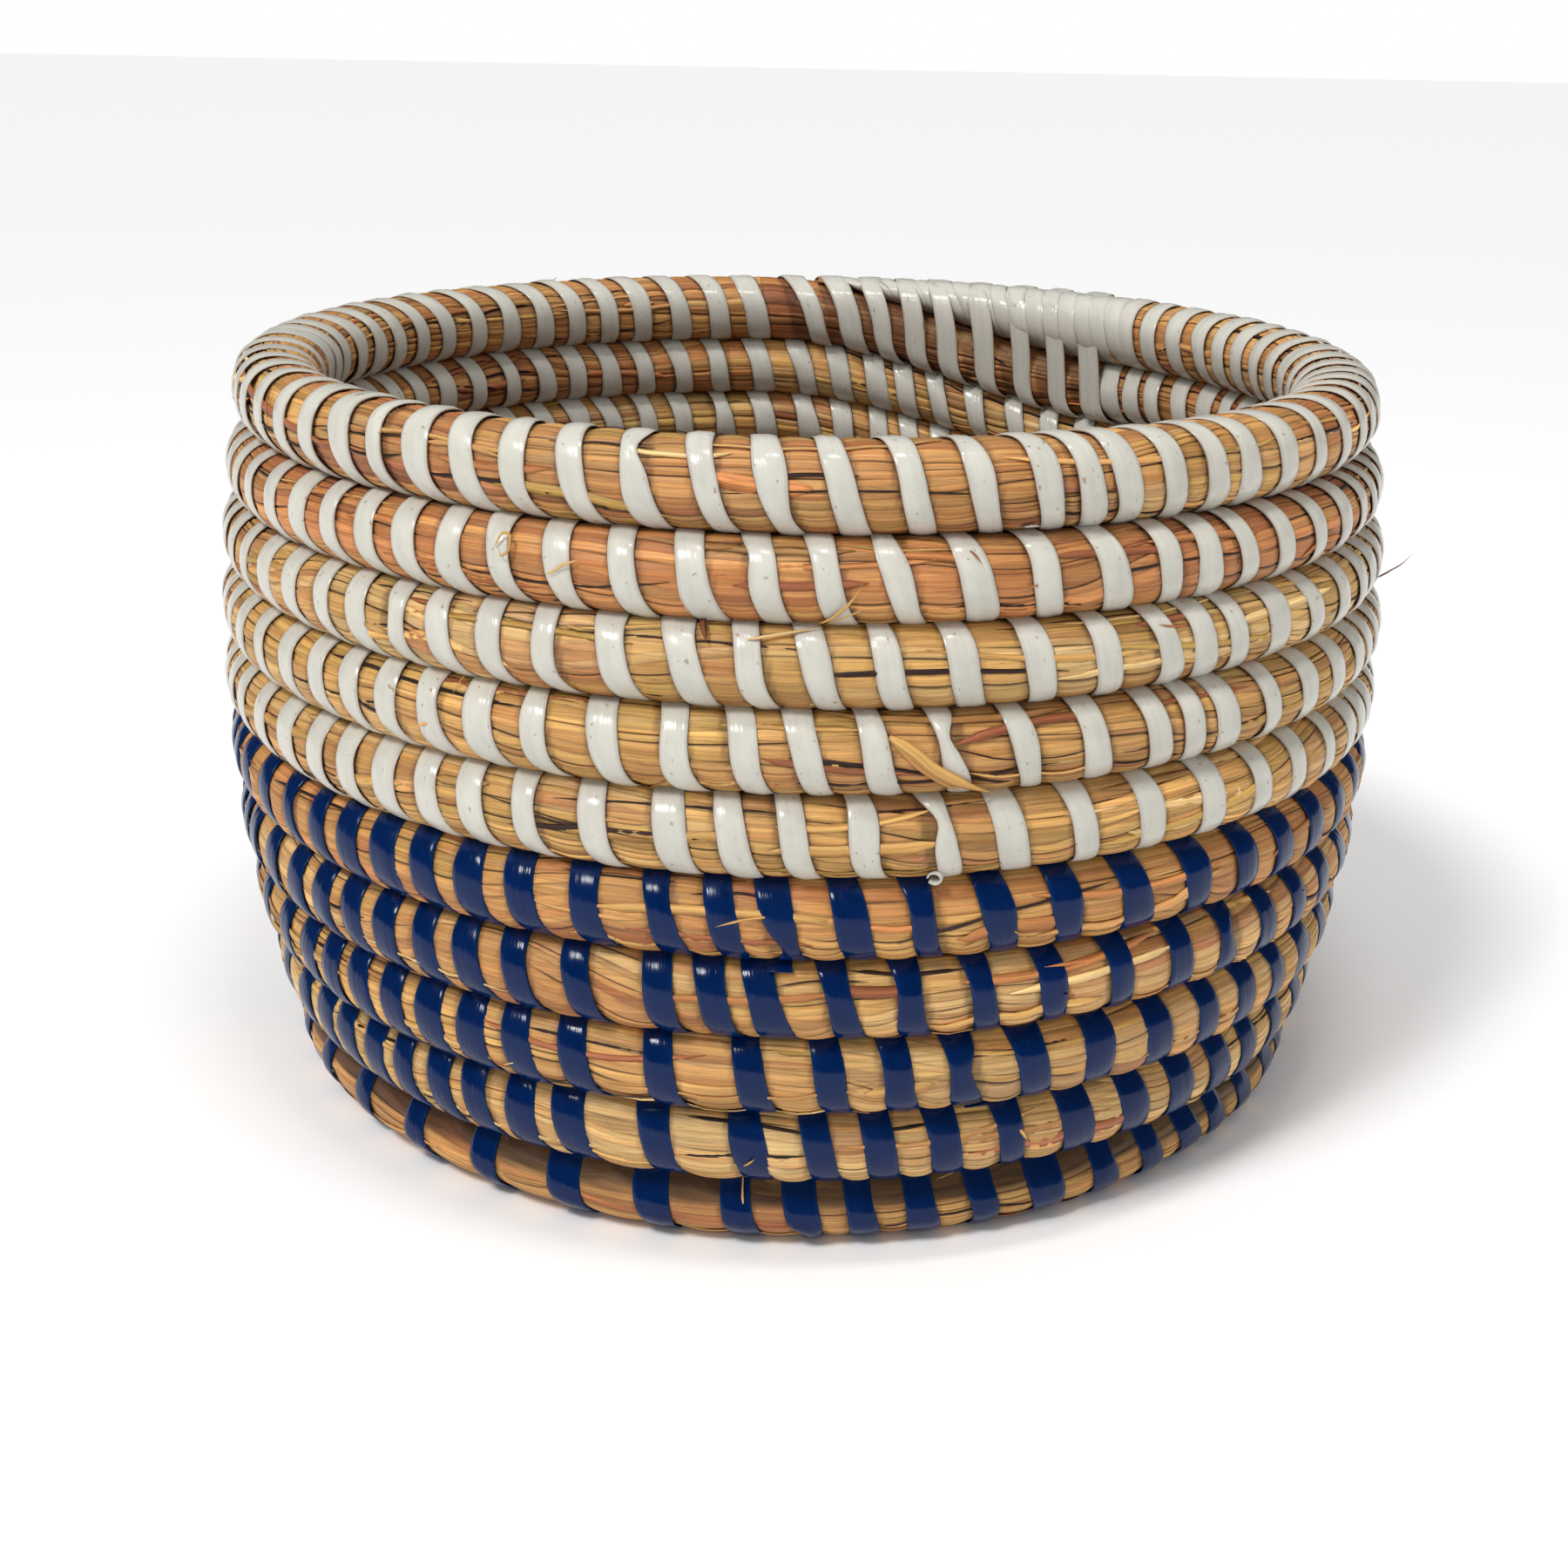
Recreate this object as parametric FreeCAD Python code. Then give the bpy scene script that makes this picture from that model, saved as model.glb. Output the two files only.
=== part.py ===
"""Coiled grass storage basket bound with flat plastic strips.

Millimetres, +Z up. The origin is the centre of the foot, on the surface the basket stands on.
One bundle of dried grass is coiled from the centre of the floor, outwards and then up the wall,
counter-clockwise seen from above. Every turn runs level round the basket and moves on to the
place of the next turn in one short stretch at the back (+Y). Plastic strips bind each turn to
the one before it. Each turn of the bundle is a node, and each length of strip is a node that
holds its wraps as a group of separate solids.
"""
import FreeCAD, Part
import math
import os

# ---- driving dimensions -------------------------------------------------------------------
FOOT_RADIUS = 105.5        # centreline of the lowest wall row
BELLY_RADIUS = 117.15      # centreline where the wall is widest
RIM_RADIUS = 111.2         # centreline of the rim row
FOOT_HEIGHT = 7.5          # centreline of the lowest wall row above the floor
BELLY_HEIGHT = 89.0
RIM_HEIGHT = 145.5
LOWER_CURVE = 2.68         # how late the wall turns in towards the foot
UPPER_CURVE = 1.63         # how late the wall turns in towards the rim
WALL_ROWS = 10
BLUE_ROWS = 5              # the lower rows, bound in blue like the floor
FOOT_PITCH = 16.9          # centre to centre, lowest wall row to the one above it
UPPER_PITCH = 14.2         # the same between the last two rows under the rim
RIM_PITCH = 15.2           # the rim is a little fuller
RIM_BUNDLE = 7.2           # bundle radius of the rim
ROW_GAP = 1.3              # between the bare bundles of neighbouring rows
JOINT_GAP = 0.05           # degrees between the end of one turn's node and the start of the next

BASE_TURNS = 4
BASE_PITCH = 16.6
BASE_DOME = 3.0            # the middle of the floor stands this much higher than its outer turn
BASE_BUNDLES = (7.2, 7.3, 7.45, 7.7)   # bundle radius, from the innermost turn outwards
KNOT_GAP = 0.6             # between the starting knot and the first turn
KNOT_EDGE = 6.8            # half the thickness of the starting knot

WALL_STEP_START = 46.5     # azimuth where a wall row leaves its level, degrees from +X
WALL_STEP = 50.0           # degrees that it takes to reach the level of the next row
BASE_STEP_START = 51.0     # the floor's turns move outwards a little later, to stay clear of
BASE_STEP = 70.0           # the lowest wall row as it climbs, and more gently
STEP_SPANS = 3             # the move is made of this many pairs of arcs

STRIP_WIDTH = 5.7
STRIP_THICKNESS = 0.35
STRIP_CLEARANCE = 0.06     # between the bundle and a wrap on it
FOOT_WRAP_SPACING = 12.7   # along the centreline of the floor and the lowest wall row
RIM_WRAP_SPACING = 10.0    # and of the rim, with even steps in between
WRAP_DRIFT = 0.71          # degrees that each turn's wraps lie ahead of those of the turn before
WRAP_EVENING = 0.3         # how far a wrap moves towards the middle of its neighbours each turn
WRAPS_PER_STRIP = 32       # about 2 m of strip
WRAP_END_ROOM = STRIP_WIDTH / 2.0 + 0.15   # a wrap stays this far inside the ends of its turn
LEAST_WRAP_SPACING = STRIP_WIDTH + 0.2

TAIL_SECTIONS = 6
TAIL_TIP_RADIUS = 0.9
TAIL_GAP = 0.35            # between the tail and the row it lies on

FLOOR_CUT = 400.0          # size of the block that trims the foot flat
FULL_TURN = 360.0


# ---- small geometry helpers ---------------------------------------------------------------
def smooth(t):
    """Rises from 0 to 1 with level ends."""
    t = min(max(t, 0.0), 1.0)
    return t * t * (3.0 - 2.0 * t)


def polar(radius, degrees, height):
    angle = math.radians(degrees)
    return FreeCAD.Vector(radius * math.cos(angle), radius * math.sin(angle), height)


def unit(vector):
    return vector / vector.Length


def tangent_arc(start, direction, end):
    """The circular arc that leaves start along direction and ends at end."""
    chord = end - start
    normal = unit(direction.cross(chord))
    inward = normal.cross(direction)
    radius = chord.dot(chord) / (2.0 * chord.dot(inward))
    turn = 2.0 * math.degrees(direction.getAngle(chord))
    return {"origin": start + inward * radius, "axis": normal, "start": start,
            "direction": direction, "radius": radius, "turn": turn}


def arc_end_direction(arc):
    return FreeCAD.Rotation(arc["axis"], arc["turn"]).multVec(arc["direction"])


def arc_pair(start, start_direction, end, end_direction):
    """Two tangent arcs in space from start to end, with the given directions at both ends."""
    chord = end - start
    total = start_direction + end_direction
    spread = 2.0 * (1.0 - start_direction.dot(end_direction))
    along = chord.dot(total)
    reach = (math.sqrt(along * along + spread * chord.dot(chord)) - along) / spread
    joint = (start + end + (start_direction - end_direction) * reach) * 0.5
    first = tangent_arc(start, start_direction, joint)
    second = tangent_arc(joint, arc_end_direction(first), end)
    return [first, second]


def arc_length(arc):
    return arc["radius"] * math.radians(arc["turn"])


def arc_place(arc, distance):
    """The point and direction this far along an arc."""
    turned = FreeCAD.Rotation(arc["axis"], math.degrees(distance / arc["radius"]))
    point = arc["origin"] + turned.multVec(arc["start"] - arc["origin"])
    return point, turned.multVec(arc["direction"])


# ---- the line that the bundle follows -----------------------------------------------------
def wall_radius(height):
    """Radius of the wall's centreline at a height."""
    if height > BELLY_HEIGHT:
        share = (height - BELLY_HEIGHT) / (RIM_HEIGHT - BELLY_HEIGHT)
        return BELLY_RADIUS - (BELLY_RADIUS - RIM_RADIUS) * share ** UPPER_CURVE
    share = (BELLY_HEIGHT - height) / (BELLY_HEIGHT - FOOT_HEIGHT)
    return BELLY_RADIUS - (BELLY_RADIUS - FOOT_RADIUS) * share ** LOWER_CURVE


def wall_pitch(row):
    """Distance between this row, counted from 0 at the foot, and the next below the rim."""
    share = min(row / (WALL_ROWS - 3.0), 1.0)
    return FOOT_PITCH + (UPPER_PITCH - FOOT_PITCH) * share


def next_wall_height(height, pitch):
    """The height one pitch further up the wall's curve."""
    above = height + pitch
    for _ in range(8):
        lean = wall_radius(above) - wall_radius(height)
        above = height + math.sqrt(pitch * pitch - lean * lean)
    return above


def floor_height(radius):
    """Height of the centreline in the floor, where the outermost turn lies level with the foot."""
    return FOOT_HEIGHT + BASE_DOME * (1.0 - (radius / (FOOT_RADIUS - BASE_PITCH)) ** 2)


def make_turns():
    """Every turn of the bundle, from the middle of the floor to the rim."""
    turns = []
    for index in range(BASE_TURNS):
        radius = FOOT_RADIUS - BASE_PITCH * (BASE_TURNS - index)
        turns.append({"name": "base_turn_%02d" % (index + 1), "radius": radius,
                      "height": floor_height(radius), "bundle": BASE_BUNDLES[index],
                      "step_start": BASE_STEP_START, "step": BASE_STEP,
                      "spacing": FOOT_WRAP_SPACING, "colour": "blue"})
    height = FOOT_HEIGHT
    for row in range(WALL_ROWS):
        is_rim = row == WALL_ROWS - 1
        pitch = wall_pitch(row)
        share = row / (WALL_ROWS - 1.0)
        turns.append({"name": "rim_row" if is_rim else "wall_row_%02d" % (row + 1),
                      "radius": wall_radius(height), "height": height,
                      "bundle": RIM_BUNDLE if is_rim else (pitch - ROW_GAP) / 2.0,
                      "step_start": WALL_STEP_START, "step": WALL_STEP,
                      "spacing": FOOT_WRAP_SPACING + (RIM_WRAP_SPACING - FOOT_WRAP_SPACING) * share,
                      "colour": "blue" if row < BLUE_ROWS else "white"})
        height = next_wall_height(height, RIM_PITCH if row == WALL_ROWS - 2 else pitch)
    return turns


def step_point(turn, following, share):
    """A point of the move from one turn to the next; share runs from 0 to 1."""
    moved = smooth(share)
    radius = turn["radius"] + (following["radius"] - turn["radius"]) * moved
    height = turn["height"] + (following["height"] - turn["height"]) * moved
    return polar(radius, turn["step_start"] + turn["step"] * share, height)


def step_direction(turn, following, share):
    small = 1e-4
    before = step_point(turn, following, max(share - small, 0.0))
    after = step_point(turn, following, min(share + small, 1.0))
    return unit(after - before)


def first_azimuth(turn, before):
    """Where a turn begins: at the end of the move from the turn before."""
    moved_from = before or turn
    return moved_from["step_start"] + moved_from["step"] + JOINT_GAP


def turn_path(turn, before, following):
    """The arcs of one turn: a level arc, then the move to the following turn."""
    first = first_azimuth(turn, before)
    start = polar(turn["radius"], first, turn["height"])
    arcs = [{"origin": FreeCAD.Vector(0, 0, turn["height"]), "axis": FreeCAD.Vector(0, 0, 1),
             "start": start, "direction": polar(1.0, first + 90.0, 0.0),
             "radius": turn["radius"], "turn": FULL_TURN + turn["step_start"] - first}]
    if following is None:
        return arcs
    for span in range(STEP_SPANS):
        low = span / STEP_SPANS
        high = (span + 1) / STEP_SPANS
        arcs += arc_pair(step_point(turn, following, low), step_direction(turn, following, low),
                         step_point(turn, following, high), step_direction(turn, following, high))
    return arcs


# ---- where the wraps lie ------------------------------------------------------------------
def next_azimuths(azimuths, wanted):
    """The wraps of the next turn: those of this one moved ahead, with new ones in the widest gaps."""
    azimuths = sorted(azimuth + WRAP_DRIFT for azimuth in azimuths)
    while len(azimuths) < wanted:
        gaps = [after - here for here, after in zip(azimuths, azimuths[1:])]
        widest = gaps.index(max(gaps))
        azimuths.insert(widest + 1, azimuths[widest] + gaps[widest] / 2.0)
    evened = []
    for index, azimuth in enumerate(azimuths):
        left = azimuths[index - 1] - (FULL_TURN if index == 0 else 0.0)
        right = azimuths[(index + 1) % wanted] + (FULL_TURN if index == wanted - 1 else 0.0)
        evened.append(azimuth + WRAP_EVENING * ((left + right) / 2.0 - azimuth))
    return evened


def wrap_azimuths(turns):
    """Azimuths of the wraps of every turn, each list within one full circle."""
    counts = [round(2.0 * math.pi * turn["radius"] / turn["spacing"]) for turn in turns]
    azimuths = [FULL_TURN * index / counts[0] for index in range(counts[0])]
    lists = [azimuths]
    for count in counts[1:]:
        azimuths = next_azimuths(azimuths, max(count, len(azimuths)))
        lists.append(azimuths)
    return lists


def distance_along(arcs, first, azimuth, step):
    """Distance along a turn that starts at azimuth first, to the place with the given azimuth."""
    level = arcs[0]
    onward = (azimuth - first) % FULL_TURN
    if onward <= level["turn"]:
        return arc_length(level) * onward / level["turn"]
    share = (onward - level["turn"]) / step
    return arc_length(level) + share * sum(arc_length(arc) for arc in arcs[1:])


def kept_inside(places, length):
    """Places of a turn's wraps, with those at its ends moved inside it where there is room."""
    inside = [min(max(place, WRAP_END_ROOM), length - WRAP_END_ROOM) for place in places if place < length]
    if inside[1] - inside[0] < LEAST_WRAP_SPACING:
        inside = inside[1:]
    if inside[-1] - inside[-2] < LEAST_WRAP_SPACING:
        inside = inside[:-1]
    return inside


# ---- solids -------------------------------------------------------------------------------
def disc(radius, centre, normal):
    return Part.Face(Part.Wire(Part.makeCircle(radius, centre, normal)))


def above_floor(section):
    """A flat section with whatever reaches below the floor trimmed off."""
    block = Part.makeBox(FLOOR_CUT, FLOOR_CUT, FLOOR_CUT,
                         FreeCAD.Vector(-FLOOR_CUT / 2.0, -FLOOR_CUT / 2.0, -FLOOR_CUT))
    return section.cut(block).Faces[0]


def sweep(section, arc, degrees):
    return section.revolve(arc["origin"], arc["axis"], degrees)


def bundle_solid(arcs, radius):
    """A round bundle that follows the arcs, flat underneath where it stands on the floor."""
    section = above_floor(disc(radius, arcs[0]["start"], arcs[0]["direction"]))
    pieces = []
    for arc in arcs:
        pieces.append(sweep(section, arc, arc["turn"]))
        section = section.copy()
        section.rotate(arc["origin"], arc["axis"], arc["turn"])
    if len(pieces) == 1:
        return pieces[0]
    return pieces[0].multiFuse(pieces[1:])


def wrap_solid(arcs, distance, radius):
    """One wrap of strip round the bundle, this far along the arcs."""
    for arc in arcs:
        length = arc_length(arc)
        if distance <= length:
            break
        distance -= length
    point, direction = arc_place(arc, distance - STRIP_WIDTH / 2.0)
    inner = radius + STRIP_CLEARANCE
    ring = disc(inner + STRIP_THICKNESS, point, direction).cut(disc(inner, point, direction))
    return sweep(above_floor(ring), arc, math.degrees(STRIP_WIDTH / arc["radius"]))


def make_knot(first_turn):
    """The tight start of the coil: a flat button with a rounded edge."""
    radius = first_turn["radius"] - first_turn["bundle"] - KNOT_GAP
    height = floor_height(0.0)
    flat = radius - KNOT_EDGE
    low = FreeCAD.Vector(0, 0, height - KNOT_EDGE)
    high = FreeCAD.Vector(0, 0, height + KNOT_EDGE)
    low_edge = FreeCAD.Vector(flat, 0, height - KNOT_EDGE)
    high_edge = FreeCAD.Vector(flat, 0, height + KNOT_EDGE)
    outermost = FreeCAD.Vector(radius, 0, height)
    outline = Part.Wire([Part.makeLine(low, low_edge),
                         Part.Arc(low_edge, outermost, high_edge).toShape(),
                         Part.makeLine(high_edge, high),
                         Part.makeLine(high, low)])
    return Part.Face(outline).revolve(FreeCAD.Vector(0, 0, 0), FreeCAD.Vector(0, 0, 1), FULL_TURN)


def tail_radius(rim, below, share):
    """Radius of the tail where it fills the room above the row that is still climbing."""
    left = (rim["height"] - below["height"]) * (1.0 - smooth(share))
    slope = step_direction(below, rim, share).z
    level = math.sqrt(1.0 - slope * slope)
    room = (left + rim["bundle"]) * level - below["bundle"] - STRIP_THICKNESS - TAIL_GAP
    return min(rim["bundle"], room / (1.0 + level))


def make_tail(rim, below):
    """The end of the bundle, thinned out along the top of the rim."""
    end = 1.0
    while tail_radius(rim, below, end) < TAIL_TIP_RADIUS:
        end -= 0.01
    sections = []
    for index in range(TAIL_SECTIONS):
        share = end * index / (TAIL_SECTIONS - 1.0)
        radius = tail_radius(rim, below, share)
        degrees = WALL_STEP_START + JOINT_GAP + WALL_STEP * share
        centre = polar(rim["radius"], degrees, rim["height"] + rim["bundle"] - radius)
        sections.append(Part.Wire(Part.makeCircle(radius, centre, polar(1.0, degrees + 90.0, 0.0))))
    return Part.makeLoft(sections, True, False)


# ---- the basket ---------------------------------------------------------------------------
def save(name, shape, expected=None):
    shape.exportStep("parts/%s.step" % name)
    print("%-16s %3d solids %9.0f mm3 %s" % (name, len(shape.Solids), shape.Volume,
                                            "valid" if shape.isValid() else "NOT VALID"))
    if expected:
        print("%-16s %5.3f of section times length" % ("", shape.Volume / expected))


def save_strips(colour, wraps):
    """Shares the wraps of one colour out over lengths of strip, in the order they were wound."""
    strips = round(len(wraps) / WRAPS_PER_STRIP)
    for strip in range(strips):
        first = len(wraps) * strip // strips
        last = len(wraps) * (strip + 1) // strips
        save("%s_strip_%02d" % (colour, strip + 1), Part.makeCompound(wraps[first:last]))


def main():
    os.makedirs("parts", exist_ok=True)
    turns = make_turns()
    wraps = {"blue": [], "white": []}
    save("base_knot", make_knot(turns[0]))
    for index, (turn, azimuths) in enumerate(zip(turns, wrap_azimuths(turns))):
        before = turns[index - 1] if index else None
        following = turns[index + 1] if index + 1 < len(turns) else None
        arcs = turn_path(turn, before, following)
        length = sum(arc_length(arc) for arc in arcs)
        save(turn["name"], bundle_solid(arcs, turn["bundle"]),
             math.pi * turn["bundle"] ** 2 * length)
        first = first_azimuth(turn, before)
        places = sorted(distance_along(arcs, first, azimuth, turn["step"]) for azimuth in azimuths)
        for place in kept_inside(places, length):
            wraps[turn["colour"]].append(wrap_solid(arcs, place, turn["bundle"]))
    save("rim_tail", make_tail(turns[-1], turns[-2]))
    save_strips("blue", wraps["blue"])
    save_strips("white", wraps["white"])


main()
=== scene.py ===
"""Looks of a coiled grass basket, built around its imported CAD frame. Metres, +Z up.

Each turn of the grass bundle is one piece, whose stalks wander and bulge between the wraps, and
each length of plastic strip is one piece that holds its wraps.
"""
import math

import bpy
import numpy as np
from mathutils import Matrix, Vector


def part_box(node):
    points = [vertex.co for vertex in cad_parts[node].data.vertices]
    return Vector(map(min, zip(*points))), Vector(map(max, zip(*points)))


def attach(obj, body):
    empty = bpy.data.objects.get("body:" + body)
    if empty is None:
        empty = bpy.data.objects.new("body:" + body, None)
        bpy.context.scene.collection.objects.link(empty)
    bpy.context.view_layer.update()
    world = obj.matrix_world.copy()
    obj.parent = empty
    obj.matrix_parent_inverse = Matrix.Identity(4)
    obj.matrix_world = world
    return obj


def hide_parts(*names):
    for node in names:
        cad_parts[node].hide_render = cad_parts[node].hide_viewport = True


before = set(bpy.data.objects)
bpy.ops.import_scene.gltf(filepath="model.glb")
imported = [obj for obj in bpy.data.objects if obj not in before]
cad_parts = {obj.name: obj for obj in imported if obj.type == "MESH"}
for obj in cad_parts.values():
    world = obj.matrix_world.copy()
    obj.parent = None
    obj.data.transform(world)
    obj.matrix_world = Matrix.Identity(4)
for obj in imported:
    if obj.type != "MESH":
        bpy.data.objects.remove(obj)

# ---- driving values ----
MM = 0.001
FULL_TURN = 360.0
FRONT = 270.0  # azimuth that faces the camera

WALL_STEP_START = 46.5  # azimuth where a wall row starts to climb to the next, degrees
WALL_STEP = 50.0
BASE_STEP_START = 51.0
BASE_STEP = 70.0
FOOT_PRESSED = 0.3 * MM  # how much of the foot's roundness the floor has pressed flat
BASE_PITCH = 16.6 * MM
KNOT_RADII = (4.0 * MM, 13.2 * MM, 24.6 * MM)  # the tight start of the coil
KNOT_WRAP_SPACING = 8.5 * MM
BLUE_ROWS = 5
UPPER_ROWS_HEIGHT = 75.0 * MM  # above this the rows are bound in white
TAIL_SHARE = 0.84  # of the last climb, over which the tail thins out
TAIL_TIP = 1.2 * MM
TAIL_FLATNESS = 0.38  # it thins faster than it narrows
TAIL_WRAP_SPACING = 5.2 * MM
TAIL_WRAP_LEAD = 0.4  # degrees before its start where its wraps begin
BOUND_LEAD = 1.0  # degrees of the climb before wraps go round the tail as well
BARE_END = 9.0  # past the tail nothing lies on the last of the climb, degrees
BARE_EASE = 3.0

WALL_DEPTH = 8.5 * MM  # half the bundle's thickness through the wall
BASE_DEPTH = 7.3 * MM
SQUARENESS = 2.3  # 2 is an ellipse; squeezed rows are squarer
FOOT_SHOULDER = 3.6  # the foot fills the crevice under the row above it
FOOT_SOLE = 2.0
BOUND_SPARE = 0.3 * MM  # room for the tail beside the row that it is bound to
BOUND_SQUARING = 1.1  # a bound pair of rows is squarer the taller it is

FOOT_WRAP_SPACING = 12.7 * MM
RIM_WRAP_SPACING = 10.0 * MM
WRAP_DRIFT = 0.71  # degrees that each turn's wraps lie ahead of the turn before
WRAP_EVENING = 0.3
WRAPS_PER_STRIP = 32
WRAP_END_ROOM = 3.0 * MM  # between a wrap and the ends of its turn
LEAST_WRAP_SPACING = 5.9 * MM

WRAP_SLANT = 2.7 * MM  # along the bundle in a quarter turn round it
WRAP_BOW = 0.5 * MM  # and how far a wrap bows on the way
WRAP_STEPS = 46
WRAP_START = -100.0  # degrees round the bundle, 0 facing outwards, 90 upwards
WRAP_END = 262.0
STRIP_THICKNESS = 0.26 * MM
LOW_STRIP_WIDTH = 5.75  # millimetres, on the floor and at the front
STRIP_NARROWING = 1.15  # less on the rim
RIM_HEIGHT = 145.0 * MM
SIDE_WIDENING = 0.36  # at the sides of the basket, as a share
BACK_NARROWING = 0.14  # and this much less at its back
FRONT_FALLOFF = 0.8
TOUCHING_GRASS = 0.42 * MM  # the grass fills the crevice where two rows touch
TOUCHING_STRIP = 0.30 * MM  # and the strip rides on it

STALKS = 30  # round the bundle
STALK_LINES = (0.0, 0.14, 0.86)
STALK_REACH = 42.0  # millimetres over which a stalk changes width
STALK_SPREAD = 0.62
WALL_COLUMN = 0.735 * MM  # grid spacing along the bundle
BASE_COLUMN = 1.15 * MM
PINCH = 0.20 * MM  # how deep a wrap presses into the grass
HIGH_BULGE = 0.30 * MM  # how the grass swells on the upper rows
LOW_BULGE = 0.50 * MM  # and on the lower ones, whose wraps are pulled tighter
PATCH_STALKS = 3  # how far a patch of one colour spans either way
PATCH_GAPS = 4  # and this many gaps between wraps
PATCH_CONTRAST = 2.1
OWN_COLOUR = 0.40  # of a stalk's colour, the rest is the patch's
SAME_STALK = 0.84  # how likely a stalk shows again past the next wrap
TONE_SPREAD = 0.11  # how much lighter or darker stalks are
GAP_TONE_SPREAD = 0.03
EDGE_SHADE = 0.7 * MM  # how far the painted shade beside a strip reaches
# painted shade: how dark the grass is between stalks, beside a strip, and where rows touch
SEAM_DARK, EDGE_DARK, TOUCHING_DARK = 0.14, 0.55, 0.85
LOW_RELIEF = 0.6  # the lower rows' stalks are smoother
LOOSE_STALKS = 120  # extra flat stalks that lie on each wall turn
CRACK_SHARE = 0.40  # of those are dark cracks, thin strips of painted shade
STRAY_FIBRES = 16  # short frayed ends on each wall turn

# How the stalks vary along the bundle: by how much, and over how many millimetres
TWIST, TWIST_REACH = 0.05, 120.0
LIFT, LIFT_REACH = 0.08 * MM, 34.0
SWELL, SWELL_REACH = 0.14 * MM, 55.0
SHADE, SHADE_REACH = 0.07, 9.0
GROOVE_REACH = 21.0
GROOVE_DEPTH, GROOVE_SPREAD = 0.13, 0.15  # millimetres
GROOVE_LIMITS = (0.02, 0.5)
STALK_CROWN = 0.04 * MM
GRAIN_ROUND = 52.0  # how far the grain coordinate runs once round the bundle

# How a wrap varies on its way round: by how much, and over how many degrees
WIDTH_SPREAD = (0.90, 1.10)
WAIST, WAIST_REACH = 0.08, 60.0
SHIFT, SHIFT_REACH = 0.30 * MM, 75.0
WAVE, WAVE_REACH = 0.06 * MM, 42.0
CREASE, CREASE_REACH = 0.06 * MM, 95.0
CREASE_KNOTS = 5
CROWNING, CROWNING_SPREAD = 0.18, 0.16  # millimetres that its middle stands off
PINCH_REACH = 24.0
PINCH_RISE = 0.55 * MM
STRIP_CLEARANCE = 0.02 * MM

PALETTE = {
    "cream": (228, 192, 132),
    "gold": (218, 170, 98),
    "tan": (207, 154, 93),
    "orange": (200, 132, 76),
    "olive": (192, 153, 80),
    "russet": (164, 98, 62),
    "brown": (120, 72, 40),
}
# the colour of painted shade: in the grass's grooves and crevices, beside strips, and on its dark crack
# strips
CRACK_SHADE = (38, 20, 14)
# how much of each colour a row shows, from the foot up; the floor is like the foot
MOODS = (
    {"tan": 4, "gold": 4, "russet": 2, "olive": 2, "orange": 1, "brown": 1},
    {"cream": 4, "gold": 5, "tan": 3, "russet": 1, "olive": 1},
    {"tan": 4, "gold": 4, "olive": 2, "russet": 1, "cream": 1},
    {"gold": 4, "tan": 3, "orange": 3, "cream": 2, "russet": 2},
    {"orange": 3, "tan": 4, "gold": 4, "olive": 1, "russet": 1},
    {"gold": 5, "tan": 3, "olive": 2, "russet": 1, "cream": 1},
    {"gold": 4, "tan": 3, "russet": 3, "olive": 2, "cream": 1},
    {"cream": 3, "gold": 4, "olive": 3, "russet": 2, "tan": 2},
    {"orange": 5, "tan": 3, "russet": 4, "brown": 0.5, "gold": 1},
    {"tan": 5, "orange": 3, "russet": 3, "gold": 2, "cream": 1, "olive": 1},
)

# The camera stands in front of the basket, a little above its rim, and looks down at it (radians)
CAMERA_PLACE = (0.0, -0.4324, 0.2153)
CAMERA_PITCH = 0.3646
CAMERA_YAW = -0.0068
CAMERA_ROLL = 0.0191
CAMERA_LENS = 45.41
CAMERA_SENSOR = 36.0
CAMERA_NEAR = 0.01

WORLD_LIGHT = 0.58  # how strongly the sky lights the basket; the camera sees it white
WORLD_REFLECTED = 0.10  # how much of it the strips mirror
SUN_POWER = 1.50
SUN_WIDTH = 14.0  # degrees across, which softens its shadow
SUN_DIRECTION = (0.52, 0.50, -1.0)
# Small lamps for the highlights on the strips: (name, place, sides, watts)
LAMPS = (
    ("lamp", (0.06, -0.20, 0.95), (0.22, 0.045), 1.7),
    ("lamp_beside", (-0.35, -0.55, 0.75), (0.05, 0.16), 0.7),
)
LAMP_TARGET = (0.0, 0.0, 0.08)
FLOOR_HALF = 12.0
FLOOR_DROP = 0.15 * MM  # keeps the studio floor clear of the foot
FLOOR_WHITE = 0.98


# ---- small helpers ----
def smooth(t):
    """Rises from 0 to 1 with level ends."""
    t = np.clip(t, 0.0, 1.0)
    return t * t * (3.0 - 2.0 * t)


def linear(colour):
    """A colour given as 0 to 255 for the screen, as the renderer's linear values."""
    share = np.asarray(colour, float) / 255.0
    return np.where(share <= 0.04045, share / 12.92, ((share + 0.055) / 1.055) ** 2.4)


def grain(lengthwise, crosswise, apart):
    """The materials' coordinate: along the fibres, across them, and from one to the next."""
    return np.stack(np.broadcast_arrays(lengthwise, crosswise, apart), -1)


def shares_of(mood):
    """The names of a mood's colours, and how large a share each has."""
    weights = np.array(list(mood.values()), float)
    return list(mood), weights / weights.sum()


def wander(table, position):
    """Smooth random curves, one for each row of the table, at these positions along it."""
    cell = np.floor(position).astype(int)
    share = smooth(position - cell)
    cell = cell % (table.shape[1] - 1)
    return table[:, cell] * (1.0 - share) + table[:, cell + 1] * share


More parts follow.
